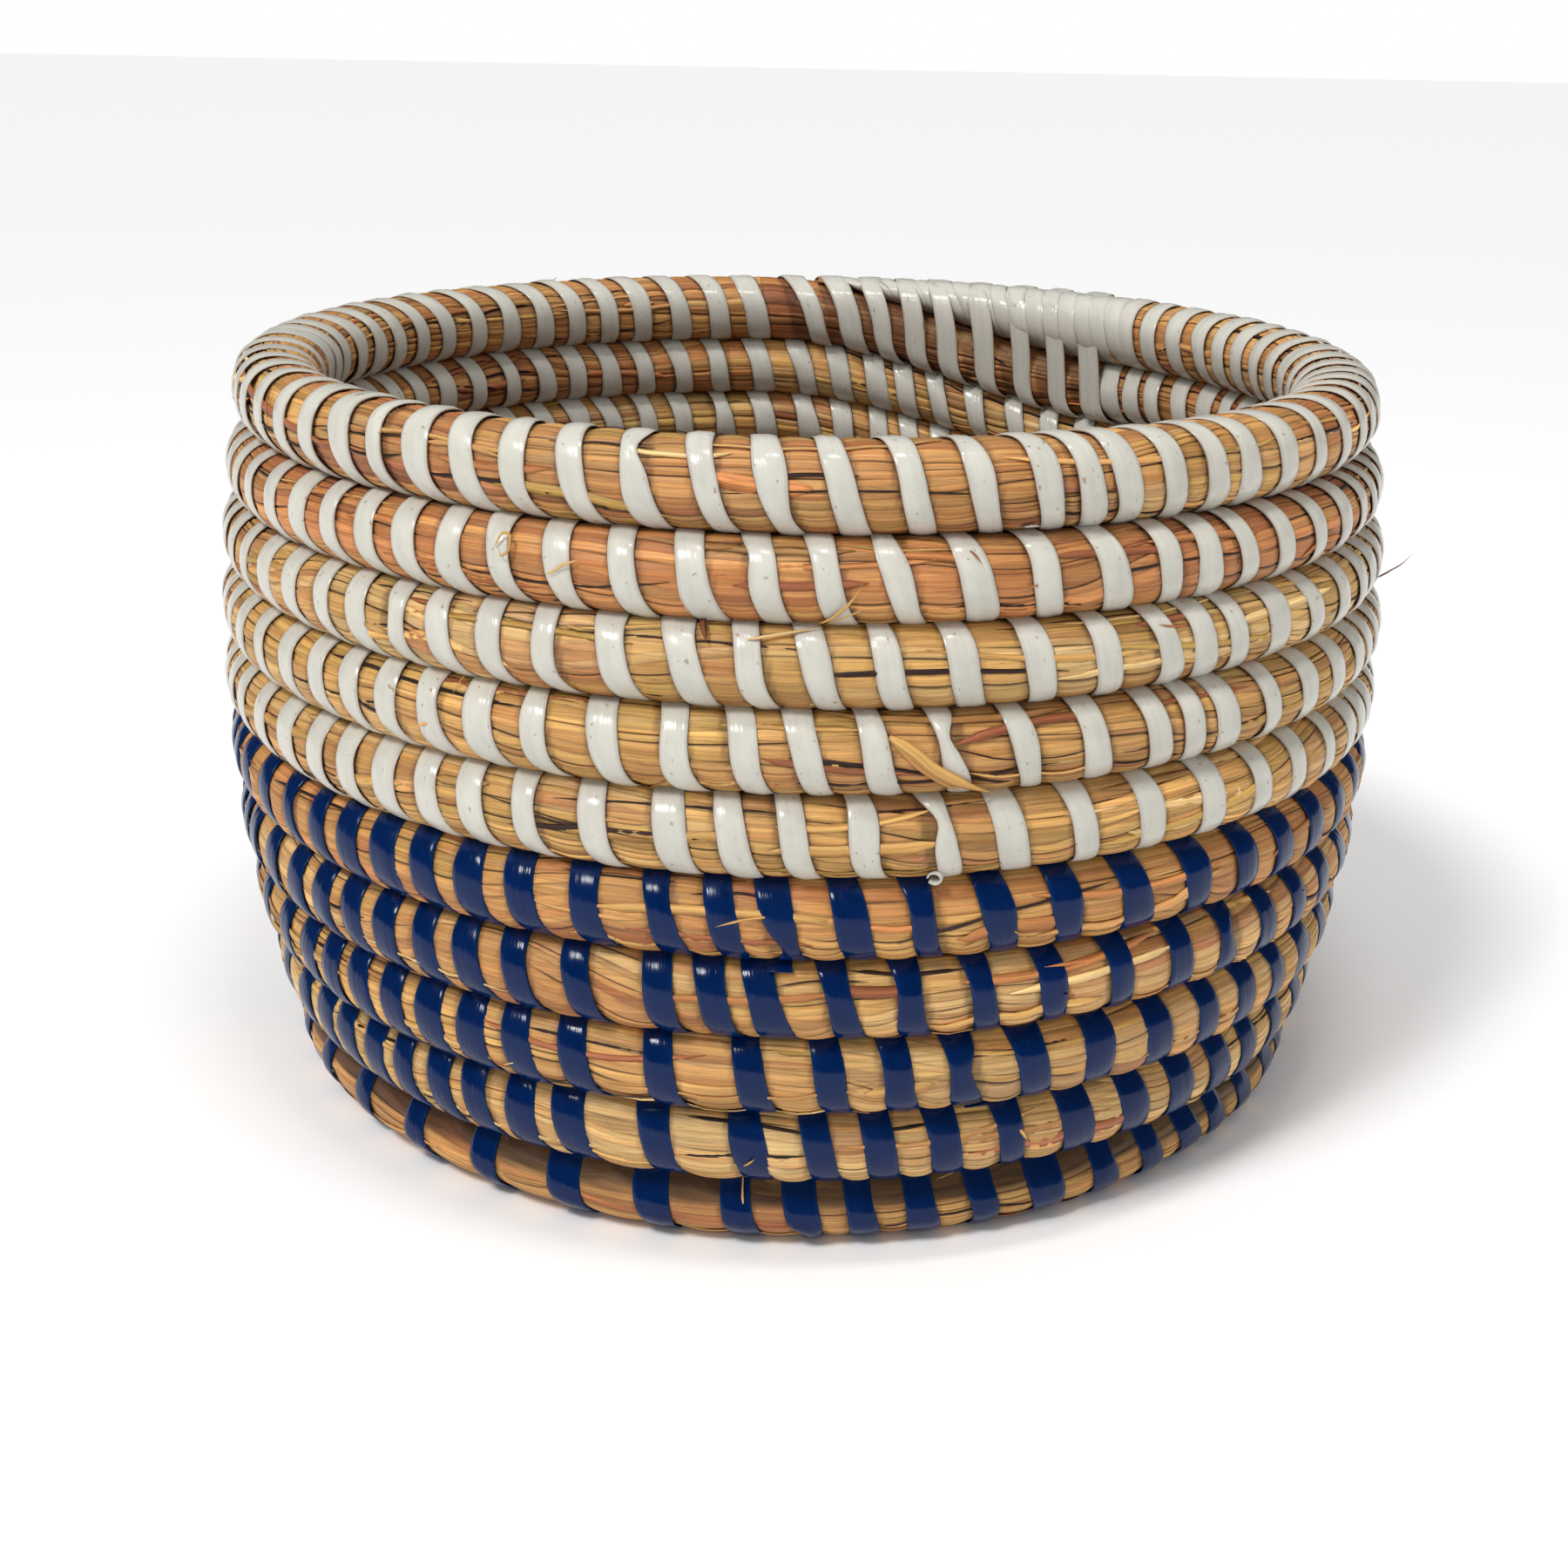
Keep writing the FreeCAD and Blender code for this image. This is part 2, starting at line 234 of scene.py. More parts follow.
# ---- the coil, read from the frame ----
class Turn:
    """One turn of the bundle: level at first, then a move to the place of the next turn."""

    slant = 1.0  # how much more its wraps slant and how much wider they are than usual
    wrap_scale = 1.0

    def __init__(self, name, radius, height, on_floor):
        self.name = name
        self.radius = radius
        self.height = height
        self.on_floor = on_floor
        self.step = BASE_STEP if on_floor else WALL_STEP
        self.level_end = FULL_TURN + (BASE_STEP_START if on_floor else WALL_STEP_START)
        self.before = None
        self.after = None
        self.wraps = []
        self.start_length = 0.0

    @property
    def first(self):
        moved_from = self.before or self
        return moved_from.level_end + moved_from.step - FULL_TURN

    @property
    def last(self):
        return self.level_end + (self.step if self.after else 0.0)

    @property
    def is_foot(self):
        return not self.on_floor and self.before.on_floor

    @property
    def is_rim(self):
        return self.after is None

    @property
    def half_height(self):
        """Half the distance to the turn before, which is half the height of a squeezed row."""
        return math.hypot(self.radius - self.before.radius, self.height - self.before.height) / 2.0

    def centre(self, azimuth):
        """Radius and height of the centreline at an azimuth in degrees."""
        if self.is_rim:
            return self.radius + 0.0 * azimuth, self.height + 0.0 * azimuth
        moved = smooth((azimuth - self.level_end) / self.step)
        return (self.radius + (self.after.radius - self.radius) * moved,
                self.height + (self.after.height - self.height) * moved)

    def neighbours(self, azimuth):
        """The centreline, and how far the turns before and after it are, as (radius, height)."""
        here = np.stack(self.centre(azimuth), -1)
        if self.before:
            before = np.stack(self.before.centre(azimuth), -1)
        else:
            before = here - np.array([2.0 * self.radius, 0.0])
        if self.after and not self.after.is_rim:
            after = np.stack(self.after.centre(azimuth), -1)
        else:
            after = 2.0 * here - before
        return here, before - here, after - here

    def section(self, azimuth):
        """The bundle's section: its middle, outward and onward directions, half sizes, squareness."""
        here, back, on = self.neighbours(azimuth)
        along = on - back
        along = along / np.linalg.norm(along, axis=-1, keepdims=True)
        out = np.stack([along[..., 1], -along[..., 0]], -1)
        depth = BASE_DEPTH if self.on_floor else WALL_DEPTH
        half_on = np.linalg.norm(on, axis=-1) / 2.0
        half_back = np.linalg.norm(back, axis=-1) / 2.0
        return here, out, along, depth, half_on, half_back, SQUARENESS

    def point(self, azimuth, theta, offset):
        """A point this far off the surface of the bundle; theta in radians, 0 facing outwards."""
        azimuth, theta, offset = np.broadcast_arrays(azimuth, theta, offset)
        here, out, along, depth, half_on, half_back, squareness = self.section(azimuth)
        cosine = np.cos(theta)
        sine = np.sin(theta)
        half = np.where(sine > 0, half_on, half_back)
        if self.is_foot:
            squareness = np.where(sine > 0, FOOT_SHOULDER, FOOT_SOLE)
        x = depth * np.sign(cosine) * np.abs(cosine) ** (2.0 / squareness)
        y = half * np.sign(sine) * np.abs(sine) ** (2.0 / squareness)
        grown = 1.0 + offset / np.hypot(x, y)
        place = here + (x * grown)[..., None] * out + (y * grown)[..., None] * along
        angle = np.radians(azimuth)
        height = np.maximum(place[..., 1], 0.0)
        return np.stack([place[..., 0] * np.cos(angle), place[..., 0] * np.sin(angle), height], -1)

    def touching(self, theta):
        """1 where the bundle is squeezed against a neighbour, 0 where it is free."""
        sine = np.sin(theta)
        if self.is_rim:
            sine = np.minimum(sine, 0.0)
        return np.abs(sine) ** 6


class Tail(Turn):
    """The end of the bundle, thinned out along the top of the rim over the row that still climbs."""

    slant = 1.5
    wrap_scale = 1.05

    def __init__(self, rim):
        super().__init__("rim_tail", rim.radius, rim.height, False)
        self.climbing = rim.before
        self.before = rim
        self.top = rim.height + rim.half_height
        self.start_length = rim.start_length + rim.radius * math.radians(rim.last - rim.first)

    @property
    def first(self):
        return self.before.last - FULL_TURN

    @property
    def last(self):
        return self.first + WALL_STEP * TAIL_SHARE

    def section(self, azimuth):
        _, height = self.climbing.centre(azimuth + FULL_TURN)
        half = np.maximum(self.top - height - self.before.half_height, TAIL_TIP) / 2.0
        here = np.stack([self.radius + 0.0 * azimuth, self.top - half], -1)
        out = np.array([1.0, 0.0])
        along = np.array([0.0, 1.0])
        depth = WALL_DEPTH * (half / self.before.half_height) ** TAIL_FLATNESS
        return here, out, along, depth, half, half, SQUARENESS


class BoundRow(Turn):
    """The climbing row together with the tail on it, as the wraps there go round both."""

    slant = 1.7
    wrap_scale = 1.15

    def __init__(self, climbing, top):
        super().__init__(climbing.name, climbing.radius, climbing.height, False)
        self.before = climbing.before
        self.after = climbing.after
        self.top = top

    def section(self, azimuth):
        here, out, along, depth, half_on, half_back, _ = super().section(azimuth)
        half_on = np.maximum(self.top - here[..., 1], half_on)
        taller = np.clip(half_on / half_back - 1.0, 0.0, 2.0)
        squareness = SQUARENESS + BOUND_SQUARING * taller
        return here, out, along, depth + BOUND_SPARE, half_on, half_back, squareness

    def touching(self, theta):
        return np.abs(np.minimum(np.sin(theta), 0.0)) ** 6


def read_turns():
    """Every turn, from the middle of the floor to the rim, placed by the boxes of its node."""
    floor_names = sorted(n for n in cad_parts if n.startswith("base_turn"))
    wall_names = sorted(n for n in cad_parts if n.startswith("wall_row")) + ["rim_row"]
    wall = []
    height_above = None
    for name in reversed(wall_names):
        low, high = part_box(name)
        bundle = (high.z - low.z) / 2.0 if height_above is None else high.z - height_above
        height_above = low.z + bundle - (FOOT_PRESSED if name == wall_names[0] else 0.0)
        wall.insert(0, Turn(name, -low.y - bundle, height_above, False))
    floor = []
    for index, name in enumerate(floor_names):
        low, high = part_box(name)
        radius = wall[0].radius - BASE_PITCH * (len(floor_names) - index)
        floor.append(Turn(name, radius, (low.z + high.z) / 2.0, True))
    low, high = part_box("base_knot")
    knot = [Turn("base_knot", radius, (low.z + high.z) / 2.0, True) for radius in KNOT_RADII]
    turns = knot + floor + wall
    for before, after in zip(turns, turns[1:]):
        before.after = after
        after.before = before
    length = 0.0
    for turn in turns:
        turn.start_length = length
        length += turn.radius * math.radians(turn.last - turn.first)
    return turns


# ---- where the wraps lie ----
def next_azimuths(azimuths, wanted):
    """The wraps of the next turn: those of this one moved ahead, with new ones in the widest gaps."""
    azimuths = sorted(azimuth + WRAP_DRIFT for azimuth in azimuths)
    while len(azimuths) < wanted:
        gaps = [after - here for here, after in zip(azimuths, azimuths[1:])]
        widest = gaps.index(max(gaps))
        azimuths.insert(widest + 1, azimuths[widest] + gaps[widest] / 2.0)
    evened = []
    for index, azimuth in enumerate(azimuths):
        left = azimuths[index - 1] - (FULL_TURN if index == 0 else 0.0)
        right = azimuths[(index + 1) % wanted] + (FULL_TURN if index == wanted - 1 else 0.0)
        evened.append(azimuth + WRAP_EVENING * ((left + right) / 2.0 - azimuth))
    return evened


def kept_inside(turn, azimuths):
    """Azimuths of a turn's wraps, with those at its ends moved inside it where there is room."""
    room = math.degrees(WRAP_END_ROOM / turn.radius)
    least = math.degrees(LEAST_WRAP_SPACING / turn.radius)
    inside = [min(max(azimuth, turn.first + room), turn.last - room) for azimuth in azimuths]
    if inside[1] - inside[0] < least:
        inside = inside[1:]
    if inside[-1] - inside[-2] < least:
        inside = inside[:-1]
    return inside


def place_wraps(turns):
    """Gives each turn the sorted azimuths of its wraps, between its first and its last."""
    wall_rows = sum(not turn.on_floor for turn in turns)
    azimuths = None
    row = 0
    for turn in turns:
        if turn.name == "base_knot":
            count = round(2.0 * math.pi * turn.radius / KNOT_WRAP_SPACING)
            span = turn.last - turn.first
            turn.wraps = [turn.first + span * (index + 0.5) / count for index in range(count)]
            continue
        share = row / (wall_rows - 1.0)
        spacing = FOOT_WRAP_SPACING + (RIM_WRAP_SPACING - FOOT_WRAP_SPACING) * share
        count = round(2.0 * math.pi * turn.radius / spacing)
        if azimuths is None:
            azimuths = [FULL_TURN * index / count for index in range(count)]
        else:
            azimuths = next_azimuths(azimuths, max(count, len(azimuths)))
        placed = [turn.first + (azimuth - turn.first) % FULL_TURN for azimuth in azimuths]
        turn.wraps = kept_inside(turn, sorted(azimuth for azimuth in placed if azimuth < turn.last))
        if not turn.on_floor:
            row += 1


def wraps_around(turn):
    """The turn's wraps with those just before and after it, for the bulges at its ends."""
    wraps = list(turn.wraps)
    if turn.before:
        wraps = [azimuth - FULL_TURN for azimuth in turn.before.wraps[-2:]] + wraps
    if turn.after:
        wraps += [azimuth + FULL_TURN for azimuth in turn.after.wraps[:2]]
    margin = 6.0  # degrees to an imagined wrap beyond the outermost ones
    return np.array([wraps[0] - margin] + wraps + [wraps[-1] + margin])


def wrap_advance(theta):
    """How far along the bundle a wrap has moved, at an angle round it."""
    return -WRAP_SLANT * theta / (math.pi / 2.0) + WRAP_BOW * np.sin(theta) ** 2


def strip_width(turn, azimuth):
    """Strips are wider low down, where the wraps lie further apart, and wider away from the front."""
    height_share = min(max(turn.height / RIM_HEIGHT, 0.0), 1.0)
    facing = np.cos(np.radians(azimuth - FRONT))
    to_front = np.clip(facing, 0.0, 1.0)
    to_back = np.clip(-facing, 0.0, 1.0)
    widening = 1.0 + SIDE_WIDENING * (1.0 - to_front ** FRONT_FALLOFF) - BACK_NARROWING * to_back
    return (LOW_STRIP_WIDTH - STRIP_NARROWING * height_share) * widening * MM


# ---- meshes ----
def placed_object(name, data):
    """A new object in the scene."""
    made = bpy.data.objects.new(name, data)
    bpy.context.scene.collection.objects.link(made)
    return made


class Pile:
    """Gathers closed bits of mesh, with a colour and a grain coordinate, into one piece."""

    def __init__(self):
        self.points, self.colours, self.grains = [], [], []
        self.quads, self.caps = [], []
        self.count = 0

    def tube(self, points, colours, grains):
        """Adds a capped tube; points has one row for each ring."""
        rings, sides = points.shape[:2]
        index = np.arange(rings * sides).reshape(rings, sides) + self.count
        beside = np.roll(index, -1, axis=1)
        corners = [index[:-1], index[1:], beside[1:], beside[:-1]]
        self.quads.append(np.stack(corners, -1).reshape(-1, 4))
        self.caps += [index[0], index[-1][::-1]]
        self.points.append(points.reshape(-1, 3))
        self.colours.append(np.broadcast_to(colours, points.shape).reshape(-1, 3))
        self.grains.append(np.broadcast_to(grains, points.shape).reshape(-1, 3))
        self.count += rings * sides

    def piece(self, name, material, nodes, slot):
        """Makes the object, which stands for the CAD nodes."""
        mesh = bpy.data.meshes.new(name)
        quads = np.concatenate(self.quads)
        loops = np.concatenate([quads.ravel()] + self.caps)
        sizes = np.array([4] * len(quads) + [len(cap) for cap in self.caps])
        starts = np.concatenate([[0], np.cumsum(sizes)[:-1]])
        mesh.vertices.add(self.count)
        mesh.loops.add(len(loops))
        mesh.polygons.add(len(sizes))
        mesh.vertices.foreach_set("co", np.concatenate(self.points).astype(np.float32).ravel())
        mesh.loops.foreach_set("vertex_index", loops.astype(np.int32))
        mesh.polygons.foreach_set("loop_start", starts.astype(np.int32))
        mesh.polygons.foreach_set("use_smooth", np.ones(len(sizes), bool))
        mesh.update(calc_edges=True)
        colour = mesh.attributes.new("tint", "FLOAT_COLOR", "POINT")
        rgba = np.ones((self.count, 4), np.float32)
        rgba[:, :3] = np.concatenate(self.colours)
        colour.data.foreach_set("color", rgba.ravel())
        along = mesh.attributes.new("grain", "FLOAT_VECTOR", "POINT")
        along.data.foreach_set("vector", np.concatenate(self.grains).astype(np.float32).ravel())
        mesh.materials.append(material)
        piece = placed_object(name, mesh)
        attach(piece, "root")
        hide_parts(*nodes)


# ---- grass ----
# the section of a loose stalk or fibre: four corners, sideways and off the bundle
FLAT_SIDES = np.array([-1.0, 0.0, 1.0, 0.0])
FLAT_RISES = np.array([0.0, 1.0, 0.0, -1.0])


class Stalks:
    """The random course of the stalks along the whole bundle, so that turns join on."""

    def __init__(self, rng):
        cells = 600  # values of each random curve before it repeats
        self.width, self.lift, self.groove, self.shade = rng.normal(size=(4, STALKS, cells))
        self.twist = rng.normal(size=(1, cells))
        self.swell = rng.normal(size=(3, cells))


def wrap_gaps(turn, azimuth, theta):
    """The gap between wraps that a point is in, its distance to the nearer one, and half the gap."""
    wraps = wraps_around(turn)
    below = -math.pi / 2.0
    once_round = (theta - below) % (2.0 * math.pi) + below
    seen = azimuth - np.degrees(wrap_advance(once_round) / turn.radius)
    gap = np.clip(np.searchsorted(wraps, seen), 1, len(wraps) - 1)
    left, right = wraps[gap - 1], wraps[gap]
    per_degree = math.radians(1.0) * turn.radius
    half_gap = (right - left) * per_degree / 2.0
    distance = np.minimum(seen - left, right - seen) * per_degree
    return gap, distance, half_gap


def swelling(turn, azimuth, theta, distance, half_gap):
    """How far the grass stands off its mean surface: pinched at wraps, swollen between them."""
    edge = strip_width(turn, azimuth) / 2.0
    share = np.clip((distance - edge) / np.maximum(half_gap - edge, 0.3 * MM), 0.0, 1.0)
    rise = 1.0 - (1.0 - share) ** 2.4
    room = np.clip((half_gap - edge) / (3.0 * MM), 0.25, 1.15)
    low_side = 0.72 + 0.42 * np.clip(-np.sin(theta) * np.cos(theta) * 2.0, -0.6, 1.0)
    free = 1.0 - turn.touching(theta)
    bulge = HIGH_BULGE if turn.height > UPPER_ROWS_HEIGHT else LOW_BULGE
    return -PINCH + (PINCH * 0.7 + bulge * room * low_side * free) * rise


def patches(rng, kinds, gaps):
    """Smooth random fields over the stalks and gaps, one for each kind of colour."""
    field = rng.normal(size=(kinds, STALKS, gaps + 2 * PATCH_GAPS))
    field = sum(np.roll(field, step, axis=1) for step in range(-PATCH_STALKS, PATCH_STALKS + 1))
    field = sum(field[:, :, step:step + gaps] for step in range(PATCH_GAPS))
    return field / field.std()


def gap_colours(rng, mood, gaps):
    """Colours of each stalk in each gap: patches of one colour, and each stalk's own colour."""
    names, weights = shares_of(mood)
    palette = np.array([linear(PALETTE[name]) for name in names])
    share = np.exp(PATCH_CONTRAST * patches(rng, len(names), gaps)) * weights[:, None, None]
    share /= share.sum(0)
    patch = np.tensordot(share, palette, (0, 0))
    chosen = np.zeros((STALKS, gaps), int)
    tone = np.zeros((STALKS, gaps))
    chosen[:, 0] = rng.choice(len(names), STALKS, p=weights)
    tone[:, 0] = rng.normal(0.0, 1.0, STALKS)
    for gap in range(1, gaps):
        keep = rng.random(STALKS) < SAME_STALK
        fresh = rng.choice(len(names), STALKS, p=weights)
        chosen[:, gap] = np.where(keep, chosen[:, gap - 1], fresh)
        tone[:, gap] = np.where(keep, tone[:, gap - 1], rng.normal(0.0, 1.0, STALKS))
    colours = patch * (1.0 - OWN_COLOUR) + palette[chosen] * OWN_COLOUR
    brightness = np.exp(TONE_SPREAD * tone + rng.normal(0.0, GAP_TONE_SPREAD, tone.shape))
    return colours * brightness[..., None]


def grass_turn(pile, turn, stalks, mood, rng):
    """The turn's bundle: a grid whose lines follow the edges and crowns of the stalks."""
    column = BASE_COLUMN if turn.on_floor else WALL_COLUMN
    length = turn.radius * math.radians(turn.last - turn.first)
    columns = int(round(length / column)) + 1
    azimuth = np.linspace(turn.first, turn.last, columns)
    along = (turn.start_length + turn.radius * np.radians(azimuth - turn.first)) / MM

    width = np.exp(STALK_SPREAD * wander(stalks.width, along / STALK_REACH))
    width /= width.sum(0)
    low_edge = np.cumsum(width, 0) - width
    low_edge += TWIST * wander(stalks.twist, along / TWIST_REACH)
    lines = low_edge[:, None, :] + width[:, None, :] * np.array(STALK_LINES)[:, None]
    theta = (2.0 * math.pi * lines + math.pi).reshape(-1, columns).T
    wide = azimuth[:, None]

    lift = LIFT * wander(stalks.lift, along / LIFT_REACH)
    groove = wander(stalks.groove, along / GROOVE_REACH)
    depth = np.clip(GROOVE_DEPTH + GROOVE_SPREAD * groove, *GROOVE_LIMITS) * MM
    crown = np.array([0.0, STALK_CROWN, STALK_CROWN])[:, None]
    relief = lift[:, None, :] + crown
    relief[:, 0, :] = np.minimum(lift, np.roll(lift, 1, 0)) - depth
    relief = relief.reshape(-1, columns).T
    if turn.height <= UPPER_ROWS_HEIGHT:
        relief = relief * LOW_RELIEF

    gap, distance, half_gap = wrap_gaps(turn, wide, theta)
    swell = wander(stalks.swell, along / SWELL_REACH)
    slow = (swell[0][:, None] * np.cos(theta) + swell[1][:, None] * np.sin(theta)) * SWELL
    touching = turn.touching(theta)
    if turn.after and turn.after.is_rim:
        bare = smooth((wide - turn.last + BARE_END) / BARE_EASE) * (np.sin(theta) > 0)
        touching = touching * (1.0 - bare)
    offset = swelling(turn, wide, theta, distance, half_gap) + relief + slow * (1.0 - touching)
    offset += TOUCHING_GRASS * touching
    points = turn.point(wide, theta, offset)

    colours = gap_colours(rng, mood, int(gap.max()) + 1)
    stalk = np.repeat(np.arange(STALKS), len(STALK_LINES))
    tint = colours[stalk, gap]
    shade = np.exp(SHADE * wander(stalks.shade, along / SHADE_REACH))
    tint = tint * np.repeat(shade, len(STALK_LINES), axis=0).T[..., None]
    # Painted shade: darker in the grooves between stalks (the deeper the groove, the darker), in the gap
    # beside each strip, and in the crevice where rows touch
    dark = np.zeros(theta.shape)
    first_lines = np.arange(STALKS) * len(STALK_LINES)
    dark[:, first_lines] = SEAM_DARK + (1.0 - SEAM_DARK) * smooth((groove.T - 0.05) / 0.85)
    beside_strip = (distance - strip_width(turn, wide) / 2.0) / EDGE_SHADE
    dark = np.maximum(dark, EDGE_DARK * np.clip(1.0 - beside_strip, 0.0, 1.0))
    dark = np.maximum(dark, TOUCHING_DARK * smooth((touching - 0.60) / 0.35))
    tint = tint * (1.0 - dark[..., None]) + linear(CRACK_SHADE) * dark[..., None]

    across = (theta - math.pi) / (2.0 * math.pi) * GRAIN_ROUND
    apart = stalk * 3.7 + gap * 1.9
    pile.tube(points, tint, grain(along[:, None], across, apart))


def loose_stalk(pile, turn, azimuth, theta, reach, slope, width, colour, lift, bend, seed):
    """A flat stalk that lies on the bundle at a small angle and passes under the wraps."""
    rings = 14
    share = np.linspace(0.0, 1.0, rings)
    angle = azimuth + np.degrees(reach * (share - 0.5) / turn.radius)
    radius = 8.0 * MM
    turned = theta + (slope * (share - 0.5) + bend * np.sin(share * math.pi)) * reach / radius
    taper = np.clip(np.minimum(share, 1.0 - share) * 7.0, 0.12, 1.0) * width / 2.0
    heights = 0.09 * FLAT_RISES * MM
    turned = turned[:, None] + FLAT_SIDES * (taper / radius)[:, None]
    _, distance, half_gap = wrap_gaps(turn, angle[:, None], turned)
    offset = swelling(turn, angle[:, None], turned, distance, half_gap) + lift + heights
    points = turn.point(angle[:, None], turned, offset)
    grains = grain(share[:, None] * reach / MM, FLAT_SIDES * width / MM / 2.0, seed)
    pile.tube(points[:, ::-1], colour, grains[:, ::-1])


def loose_stalks(pile, turn, mood, rng):
    """Flat stalks, and dark cracks that are strips of painted shade, at random places on the turn."""
    names, weights = shares_of(mood)
    for index in range(LOOSE_STALKS):
        colour = linear(PALETTE[names[rng.choice(len(names), p=weights)]])
        colour = colour * math.exp(rng.normal(0.05, 0.16))
        width = rng.uniform(0.5, 2.3) * MM
        # a dark crack: a thin strip of painted shade
        if rng.random() < CRACK_SHARE:
            colour = linear(CRACK_SHADE) * rng.uniform(0.8, 2.2)
            width = rng.uniform(0.25, 0.8) * MM
        reach = rng.uniform(9.0, 46.0) * MM
        margin = math.degrees(reach / turn.radius)
        azimuth = rng.uniform(turn.first + margin, turn.last - margin)
        theta = rng.choice([rng.uniform(-1.1, 1.2), rng.uniform(1.8, 4.4)])
        slope = rng.normal(0.0, 0.07)
        lift = rng.uniform(0.13, 0.22) * MM
        bend = rng.normal(0.0, 0.03)
        loose_stalk(pile, turn, azimuth, theta, reach, slope, width, colour, lift, bend, index * 5.3)


# ---- strips ----
# The section of a strip, across its top and back along its underside: the share of its width,
# the share of its thickness, and how much of the painted edge light it has: painted shade on the white
# strips, a painted highlight on the blue ones
SECTION_SHARES = (0.5, 0.462, 0.34, 0.12, -0.12, -0.34, -0.462, -0.5, -0.47, 0.47)
SECTION_HEIGHTS = (0.35, 0.86, 1.0, 1.0, 1.0, 1.0, 0.86, 0.35, 0.0, 0.0)
SECTION_PAINTED_EDGE = (1.0, 0.25, 0.0, 0.0, 0.0, 0.0, 0.25, 1.0, 0.6, 0.6)


def wrap(pile, turn, azimuth, colour, painted_edge_light, rng, pinch=None, start=WRAP_START, end=WRAP_END,
         lift=0.0, size=1.0):
    """One wrap of strip round the bundle, or a cut end of strip that lifts off it."""
    theta = np.radians(np.linspace(start, end, WRAP_STEPS))
    degrees = np.degrees(theta)
    gone = degrees - WRAP_START
    width = strip_width(turn, azimuth) * turn.wrap_scale * size * rng.uniform(*WIDTH_SPREAD)
    ripple = rng.normal(size=(4, 16))
    waist = 1.0 + WAIST * wander(ripple[:1], gone / WAIST_REACH)[0]
    shift = SHIFT * wander(ripple[1:2], gone / SHIFT_REACH)[0]
    raised = np.zeros(len(theta))
    lifted = lift * np.linspace(0.0, 1.0, len(theta)) ** 1.6
    if pinch:
        place, amount, sideways = pinch
        near = np.exp(-((degrees - place) / PINCH_REACH) ** 2)
        waist = waist * (1.0 - amount * near)
        shift = shift + sideways * near
        raised = PINCH_RISE * amount * near
    shares = np.array(SECTION_SHARES)
    heights = np.array(SECTION_HEIGHTS) * STRIP_THICKNESS
    crown = np.clip(1.0 - (2.0 * shares) ** 2, 0.0, 1.0)
    crease = rng.normal(0.0, CREASE, (CREASE_KNOTS, len(shares)))
    creases = wander(crease.T, np.clip(gone / CREASE_REACH, 0.0, CREASE_KNOTS - 1.1)).T
    creases[:, -2:] = 0.0
    crowning = (CROWNING + CROWNING_SPREAD * rng.random()) * MM
    base = STRIP_CLEARANCE + TOUCHING_STRIP * turn.touching(theta)
    base = base + WAVE * wander(ripple[2:3], gone / WAVE_REACH)[0]
    base = base + lifted
    offset = base[:, None] + heights + creases + crown * (crowning + raised[:, None])
    if pinch:
        fold = np.sin((shares * 2.0 + 0.3) * 5.0) * raised[:, None] * 0.35
        fold[:, -2:] = 0.0
        offset = offset + fold
    middle = wrap_advance(theta) * turn.slant + shift
    sideways = middle[:, None] + shares * (width * waist)[:, None]
    angles = azimuth + np.degrees(sideways / turn.radius)
    points = turn.point(angles, theta[:, None], offset)
    # the edges and underside take the painted edge light: painted shade on white strips, a painted
    # highlight on blue ones
    edge = np.array(SECTION_PAINTED_EDGE)[:, None]
    tint = colour * (1.0 - edge) + painted_edge_light * edge
    apart = rng.uniform(0.0, 900.0)
    pile.tube(points, tint, grain(theta[:, None] * 8.0, shares * width / MM, apart))


def roll(pile, turn, azimuth, radius, colour):
    """The rolled-up end of a strip, a little open tube that sticks out from under a row."""
    rings = 10
    sides = 20
    hollow = 0.76  # of its radius
    share = np.linspace(0.0, 1.0, rings)
    rise = (0.4 + 3.0 * share) * MM
    line = turn.point(azimuth - 1.6 * share, np.radians(84.0 - 30.0 * share), rise)
    direction = line[-1] - line[0]
    direction /= np.linalg.norm(direction)
    side = np.cross(direction, (0.0, 0.0, 1.0))
    side /= np.linalg.norm(side)
    upward = np.cross(side, direction)
    round_it = np.radians(np.linspace(0.0, 320.0, sides))
    angles = np.concatenate([round_it, round_it[::-1]])
    reach = np.concatenate([np.full(sides, 1.0), np.full(sides, hollow)]) * radius
    wide = (np.cos(angles) * reach)[:, None] * side
    tall = (np.sin(angles) * reach)[:, None] * upward * 0.8
    ring = wide + tall
    flare = (1.0 + 0.18 * share)[:, None, None]
    points = line[:, None, :] + ring * flare
    pile.tube(points[:, ::-1], colour, grain(share[:, None] * 6.0, angles, 411.0))


